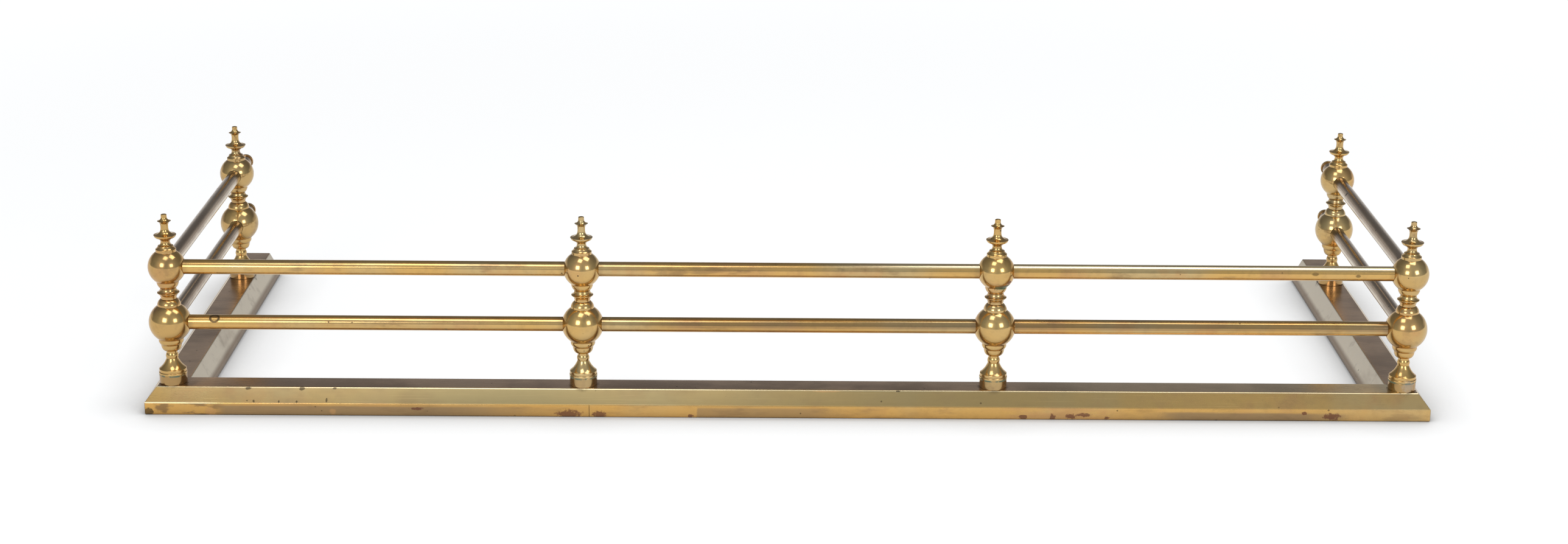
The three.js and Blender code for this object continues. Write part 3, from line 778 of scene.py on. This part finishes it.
class FENDER_OT_base(Operator):
    """Fold the front moulding and the two returns, and mitre them at the front corners"""

    bl_idname = "fender.base"
    bl_label = "Base mouldings"

    def execute(self, context):
        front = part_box("base_front")
        spread = context.scene.fender_base.spread
        corner = front[1][0] - spread
        line = front[0][1] + spread
        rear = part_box("base_left_return")[1][1]
        left, right = Vector((-corner, line, 0)), Vector((corner, line, 0))
        left_mitre, right_mitre = Vector((1, -1, 0)).normalized(), Vector((-1, -1, 0)).normalized()
        self.fold("base_front", left, RIGHT, 2 * corner, -REARWARD, [(left, -left_mitre), (right, -right_mitre)])
        self.fold("base_left_return", left, REARWARD, rear - line, LEFT, [(left, left_mitre)])
        self.fold("base_right_return", right, REARWARD, rear - line, RIGHT, [(right, right_mitre)])
        return {"FINISHED"}

    def fold(self, node, start, along, reach, outward, cuts):
        """Draws the sheet's outer side, extrudes it, rounds its folds, thickens it inwards, and cuts its mitres."""
        base = bpy.context.scene.fender_base
        half, spread = base.flat / 2, base.spread
        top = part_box(node)[1][2]
        section = [(spread - base.hem, 0), (spread, 0), (spread, base.fascia), (half, top), (-half, top),
                   (-spread, base.lip), (-spread, 0), (base.hem - spread, 0)]
        spare = spread * 1.2
        origin = start - along * spare
        run = reach + spare * len(cuts)

        bm = bmesh.new()
        verts = [bm.verts.new(origin + outward * offset + Vector((0, 0, height))) for offset, height in section]
        edges = [bm.edges.new(pair) for pair in zip(verts, verts[1:])]
        made = bmesh.ops.extrude_edge_only(bm, edges=edges)["geom"]
        bmesh.ops.translate(bm, verts=[item for item in made if isinstance(item, bmesh.types.BMVert)],
                            vec=along * run)
        folds = [max(vert.link_edges, key=lambda edge: edge.calc_length()) for vert in verts[1:-1]]
        for index, edge in enumerate(folds, start=1):
            before, here, after = (Vector(section[index + step]) for step in (-1, 0, 1))
            turn = (here - before).angle(after - here)
            rounded(bm, [edge], base.fold * math.tan(turn / 2), base.fold_facets)
        flat = max(bm.faces, key=lambda face: face.calc_center_median().z)
        flat.normal_update()
        if flat.normal.z < 0:
            bmesh.ops.reverse_faces(bm, faces=bm.faces)
        bmesh.ops.solidify(bm, geom=bm.faces[:], thickness=base.sheet)
        for place, away in cuts:
            cut = bmesh.ops.bisect_plane(bm, geom=bm.verts[:] + bm.edges[:] + bm.faces[:], dist=1e-7,
                                         plane_co=place + away * -base.mitre_gap / 2, plane_no=away,
                                         clear_outer=True)
            rim = [item for item in cut["geom_cut"] if isinstance(item, bmesh.types.BMEdge)]
            bmesh.ops.holes_fill(bm, edges=rim, sides=0)
        bmesh.ops.recalc_face_normals(bm, faces=bm.faces)
        set_down(node, mesh_of(bm, node), "base_finish", "moulding")


class TurnedPieces:
    """Turns one kind of piece, and sets one down in every post."""

    part = ""

    def execute(self, context):
        posts = context.scene.fender_posts
        outline = outlines(posts)[self.part]
        whole = PostOutline(posts)
        patterns = {}
        for post, ways in POSTS.items():
            node = f"{post}_{self.part}"
            key = tuple(tuple(way) for way in ways)
            if key not in patterns:
                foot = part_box(node)[0][2]
                patterns[key] = self.turn(outline, posts, ways, foot)
                whole.mark(patterns[key])
            mesh = patterns[key].copy()
            axis = post_axis(post)
            mesh.transform(Matrix.Translation((axis.x, axis.y, 0)))
            set_down(node, mesh, "post_finish", "turned")
        return {"FINISHED"}

    def turn(self, outline, posts, ways, foot):
        bore, top = posts.bore / 2 / MM, outline.points[-1][1]
        path = eased([(bore, 0), *outline.points, (bore, top)], posts.arris / MM)
        return self.raised(lathe(path, posts.facets, closed=True), foot)

    def raised(self, bm, foot):
        return mesh_of(moved(bm, (0, 0, foot)), self.part)


class BallPieces(TurnedPieces):
    """Turned pieces with a ball, drilled for the rails."""

    def turn(self, outline, posts, ways, foot):
        blank = super().turn(outline, posts, ways, foot)
        centre = Vector((0, 0, foot + outline.ball_height * MM))
        reach = outline.points[-1][1] * MM
        through = -REARWARD in ways
        floor = -reach if through else posts.socket_floor
        return drilled(blank, [mesh_of(laid_along(drum(posts.socket / 2, floor, reach, 64), way, centre), "hole")
                               for way in (ways[:1] if through else ways)])


class FENDER_OT_feet(TurnedPieces, Operator):
    """Turn the foot drum of every post"""

    bl_idname = "fender.feet"
    bl_label = "Feet"
    part = "foot"


class FENDER_OT_stems(TurnedPieces, Operator):
    """Turn the flared stem of every post"""

    bl_idname = "fender.stems"
    bl_label = "Stems"
    part = "stem"


class FENDER_OT_lower_balls(BallPieces, Operator):
    """Turn and drill the lower ball of every post"""

    bl_idname = "fender.lower_balls"
    bl_label = "Lower balls"
    part = "lower_ball"


class FENDER_OT_neck_rings(TurnedPieces, Operator):
    """Turn the ring between the balls of every post"""

    bl_idname = "fender.neck_rings"
    bl_label = "Neck rings"
    part = "neck_ring"


class FENDER_OT_upper_balls(BallPieces, Operator):
    """Turn and drill the upper ball of every post"""

    bl_idname = "fender.upper_balls"
    bl_label = "Upper balls"
    part = "upper_ball"


class FENDER_OT_finials(TurnedPieces, Operator):
    """Turn the finial of every post, with a blind hole for its bolt"""

    bl_idname = "fender.finials"
    bl_label = "Finials"
    part = "finial"
    hole = 14
    crown = 0.9

    def turn(self, outline, posts, ways, foot):
        bore, (tip, top) = posts.bore / 2 / MM, outline.points[-1]
        body = [(radius, height) for radius, height in outline.points if height < top - self.crown - 0.1]
        crown = [(tip * math.cos(turn), top - self.crown + self.crown * math.sin(turn))
                 for turn in (step * math.pi / 16 for step in range(8))]
        path = [(0, self.hole), (bore, self.hole), (bore, 0), *body, *crown, (0, top)]
        return self.raised(lathe(eased(path, posts.arris / MM), posts.facets, closed=False), foot)


class FENDER_OT_tie_bolts(Operator):
    """Make the tie bolt of every post: a hexagon head, a washer and a long shank"""

    bl_idname = "fender.tie_bolts"
    bl_label = "Tie bolts"

    def execute(self, context):
        bolts = context.scene.fender_bolts
        for post in POSTS:
            node = f"{post}_tie_bolt"
            low, high = corners(node)
            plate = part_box("base_front")[1][2] - context.scene.fender_base.sheet
            shank, washer, thick = bolts.shank / 2 / MM, bolts.washer / 2 / MM, bolts.washer_thickness / MM
            under, top = (plate - low.z) / MM - thick, (high.z - low.z) / MM
            path = eased([(0, under - 1), (shank, under - 1), (shank, under), (washer, under), (washer, under + thick),
                          (shank, under + thick), (shank, top - 1), (shank - 1, top), (0, top)], 0.3)
            bm = lathe(path, 48, closed=False)
            head = bmesh.ops.create_cone(bm, cap_ends=True, segments=6, radius1=bolts.head / 2,
                                         radius2=bolts.head / 2, depth=under * MM)["verts"]
            bmesh.ops.translate(bm, verts=head, vec=(0, 0, under * MM / 2))
            rounded(bm, list({edge for vert in head for edge in vert.link_edges}), 0.4 * MM, 2)
            axis = post_axis(post)
            moved(bm, (axis.x, axis.y, low.z))
            set_down(node, mesh_of(bm, node), "bolt_finish", "bolt")
        return {"FINISHED"}


def rail_tube(node, finish):
    """A tube from end to end of its node, darker where it enters a ball."""
    rails = bpy.context.scene.fender_rails
    low, high = corners(node)
    size = high - low
    along = RIGHT if size.x > size.y else REARWARD
    reach = size.dot(along) / MM
    outer = rails.diameter / 2 / MM
    inner = outer - rails.wall / MM
    steps = math.ceil(reach / 6)
    outside = [(outer, reach * step / steps) for step in range(steps + 1)]
    bm = lathe(eased([(inner, 0), *outside, (inner, reach)], 0.3), rails.facets, closed=True)
    laid_along(bm, along, middle(node) - along * (reach * MM / 2))
    mesh = mesh_of(bm, node)
    axes = [post_axis(post) for post in POSTS]
    level = "lower_ball" if "lower" in node else "upper_ball"
    ball = getattr(bpy.context.scene.fender_posts, level) / 2
    gaps = [min(math.hypot(vert.co.x - axis.x, vert.co.y - axis.y) for axis in axes) - ball for vert in mesh.vertices]
    mark(mesh, "relief", [max(0.0, 1 - max(0.0, gap) / (12 * MM)) for gap in gaps])
    set_down(node, mesh, finish, "tube")


class FENDER_OT_rails(Operator):
    """Draw the six tubes along the front, and the four that run back along the sides"""

    bl_idname = "fender.rails"
    bl_label = "Rails"

    def execute(self, context):
        for nodes, finish in ((FRONT_RAILS, "front_rail_finish"), (SIDE_RAILS, "side_rail_finish")):
            for node in nodes:
                rail_tube(node, finish)
        return {"FINISHED"}


class FENDER_OT_rail_caps(Operator):
    """Turn the domed cap that closes the rear end of each side rail"""

    bl_idname = "fender.rail_caps"
    bl_label = "Rail caps"

    def execute(self, context):
        rails = context.scene.fender_rails
        spigot, cap, rim = rails.spigot / 2 / MM, rails.cap / 2 / MM, rails.cap_rim / MM
        for node in RAIL_CAPS:
            low, high = corners(node)
            reach = (high.y - low.y) / MM
            plug = reach - rim - cap
            dome = [(cap * math.cos(t), plug + rim + cap * math.sin(t))
                    for t in (step * math.pi / 40 for step in range(20))]
            path = [(0, 0), (spigot, 0), (spigot, plug), (cap, plug), (cap, plug + rim * 0.55),
                    (cap - 0.35, plug + rim * 0.7), (cap - 0.1, plug + rim), *dome[1:], (0, reach)]
            bm = lathe(eased(path, 0.35), rails.facets, closed=False)
            centre = middle(node)
            laid_along(bm, REARWARD, (centre.x, low.y, centre.z))
            mesh = mesh_of(bm, node)
            run = [vert.co.y - low.y for vert in mesh.vertices]
            mark(mesh, "run", run)
            mark(mesh, "relief", [0.4 if value / MM < plug + 0.4 else -0.5 for value in run])
            set_down(node, mesh, "post_finish", "dome")
        return {"FINISHED"}


class FENDER_OT_studio(Operator):
    """Lay the floor, hang the lamps and place the camera"""

    bl_idname = "fender.studio"
    bl_label = "Studio"

    # Directions from the fender in which the room glows, and how much
    GLOWS = (((-0.45, -0.85, 0.35), 0.35), ((0.6, -0.78, 0.33), 0.2),
             ((-0.3, -0.5, 0.85), 0.15), ((0.25, -0.4, 0.9), 0.15))
    # Each lamp's place and width, and the setting for its brightness. All of them point at one place.
    LAMPS = {
        "front_left_lamp": ((-2.2, -4.6, 2.1), 1.8, "front_lamps"),
        "front_right_lamp": ((3.2, -4.5, 2.1), 1.8, "front_lamps"),
        "ceiling_left_lamp": ((-0.62, -1.4, 3.0), 1.15, "ceiling_lamps"),
        "ceiling_right_lamp": ((1.0, -0.25, 3.0), 1.4, "ceiling_lamps"),
    }
    LIT_PLACE = Vector((0, -0.1, 0.1))
    FOCAL_LENGTH = 61.77
    CAMERA_PLACE = (-0.01926, -2.97773, 0.98722)
    PITCH, YAW, ROLL = 0.2939, 0.005, 0.0075

    def execute(self, context):
        studio = context.scene.fender_studio
        self.floor(studio)
        world = bpy.data.worlds.new("surroundings")
        world.use_nodes = True
        self.room(world.node_tree, studio)
        context.scene.world = world
        for name, (place, width, setting) in self.LAMPS.items():
            turn = (self.LIT_PLACE - Vector(place)).to_track_quat("-Z", "Y").to_euler()
            lamp = self.lamp(name, "AREA", getattr(studio, setting) * width * width, place, turn)
            lamp.data.shape = "SQUARE"
            lamp.data.size = width
            lamp.visible_camera = False
        overhead = self.lamp("overhead_light", "SUN", studio.overhead, (0, 0, 4), (math.radians(-8), 0, 0))
        overhead.data.angle = math.radians(110)
        overhead.visible_glossy = False
        self.camera(context.scene)
        context.scene.view_settings.view_transform = "Standard"
        return {"FINISHED"}

    def room(self, tree, studio):
        """A plain room, lighter in front of the fender than behind it, with a pale backdrop and four soft glows."""
        room = Shading(tree, "Generated")
        ahead, height = room.axis("Y"), room.axis("Z")
        shade = room.blend(ahead.rising(-0.9, 0.7), studio.in_front, studio.behind)
        shade = room.blend(height.rising(0.3, 0.12) * ahead.rising(0.1, 0.5), shade, studio.backdrop)
        for direction, strength in self.GLOWS:
            near = room.add("ShaderNodeVectorMath", {"operation": "DOT_PRODUCT"},
                            {0: room.place, 1: Vector(direction).normalized()}, output="Value")
            shade = room.blend(near.rising(0.8, 1.0) * strength, shade, (1, 1, 1))
        room.set(tree.nodes["Background"].inputs["Color"], shade)

    def floor(self, studio):
        """A matt floor that keeps the fender's shadow, darkened further near it by a painted contact shadow, and looks
        white elsewhere, and more so far away.
        """
        bm = bmesh.new()
        bmesh.ops.create_circle(bm, cap_ends=True, segments=128, radius=studio.floor_radius)
        floor = linked("floor", mesh_of(bm, "floor"))
        finish = Finish("floor_paper", metallic=0.0)
        seen = finish.add("ShaderNodeLightPath", output="Is Camera Ray")
        seen = seen.most(finish.add("ShaderNodeLightPath", output="Is Glossy Ray") * 0.82)
        seen = seen.most(finish.add("ShaderNodeLightPath", output="Is Transmission Ray"))
        # Painted shadow: ambient occlusion dims the floor's brightness for camera and glossy rays near the fender
        open_to_light = finish.add("ShaderNodeAmbientOcclusion", {"samples": 16}, {"Distance": studio.contact},
                                   output="AO")
        far = finish.away((0, 0, 0), (1, 1, 1)).rising(1, 6)
        glow = seen * open_to_light ** 2.7 * (far * 0.4 + studio.floor_glow)
        finish.tone = studio.floor
        floor.data.materials.append(finish.done(**{
            "Roughness": 0.9, "Specular IOR Level": 0.0, "Emission Strength": 1.0,
            "Emission Color": finish.blend(glow, (0, 0, 0), (1, 1, 1))}))

    def lamp(self, name, kind, brightness, place, turn):
        light = bpy.data.lights.new(name, kind)
        light.energy = brightness * math.pi
        lamp = linked(name, light)
        lamp.location = place
        lamp.rotation_euler = turn
        return lamp

    def camera(self, scene):
        lens = bpy.data.cameras.new("camera")
        lens.sensor_width = 36
        lens.lens = self.FOCAL_LENGTH
        lens.clip_end = 100
        camera = linked("camera", lens)
        yaw, pitch, roll = (Matrix.Rotation(angle, 4, axis) for angle, axis in (
            (-self.YAW, "Z"), (math.pi / 2 - self.PITCH, "X"), (self.ROLL, "Z")))
        camera.matrix_world = Matrix.Translation(self.CAMERA_PLACE) @ yaw @ pitch @ roll
        scene.camera = camera


class FENDER_PT_panel(Panel):
    """Every piece of the fender, and the sizes and colours behind it"""

    bl_idname = "FENDER_PT_panel"
    bl_label = "Fire fender"
    bl_space_type = "VIEW_3D"
    bl_region_type = "UI"
    bl_category = "Fender"

    def draw(self, context):
        for operator in MAKERS:
            self.layout.operator(operator.bl_idname)
        for name in GROUPS:
            box = self.layout.box()
            group = getattr(context.scene, name)
            for key in group.__annotations__:
                box.prop(group, key)


GROUPS = {
    "fender_base": FenderBase,
    "fender_posts": FenderPosts,
    "fender_bolts": FenderBolts,
    "fender_rails": FenderRails,
    "fender_finish": FenderFinish,
    "fender_studio": FenderStudio,
}
MAKERS = (
    FENDER_OT_studio,
    FENDER_OT_base,
    FENDER_OT_feet,
    FENDER_OT_stems,
    FENDER_OT_lower_balls,
    FENDER_OT_neck_rings,
    FENDER_OT_upper_balls,
    FENDER_OT_finials,
    FENDER_OT_tie_bolts,
    FENDER_OT_rails,
    FENDER_OT_rail_caps,
)


def register():
    for name, group in GROUPS.items():
        bpy.utils.register_class(group)
        setattr(bpy.types.Scene, name, PointerProperty(type=group))
    for item in (*MAKERS, FENDER_PT_panel):
        bpy.utils.register_class(item)


def unregister():
    for item in (FENDER_PT_panel, *reversed(MAKERS)):
        bpy.utils.unregister_class(item)
    for name, group in reversed(GROUPS.items()):
        delattr(bpy.types.Scene, name)
        bpy.utils.unregister_class(group)


def main():
    register()
    for maker in MAKERS:
        group, name = maker.bl_idname.split(".")
        getattr(getattr(bpy.ops, group), name)()


if __name__ == "__main__":
    main()
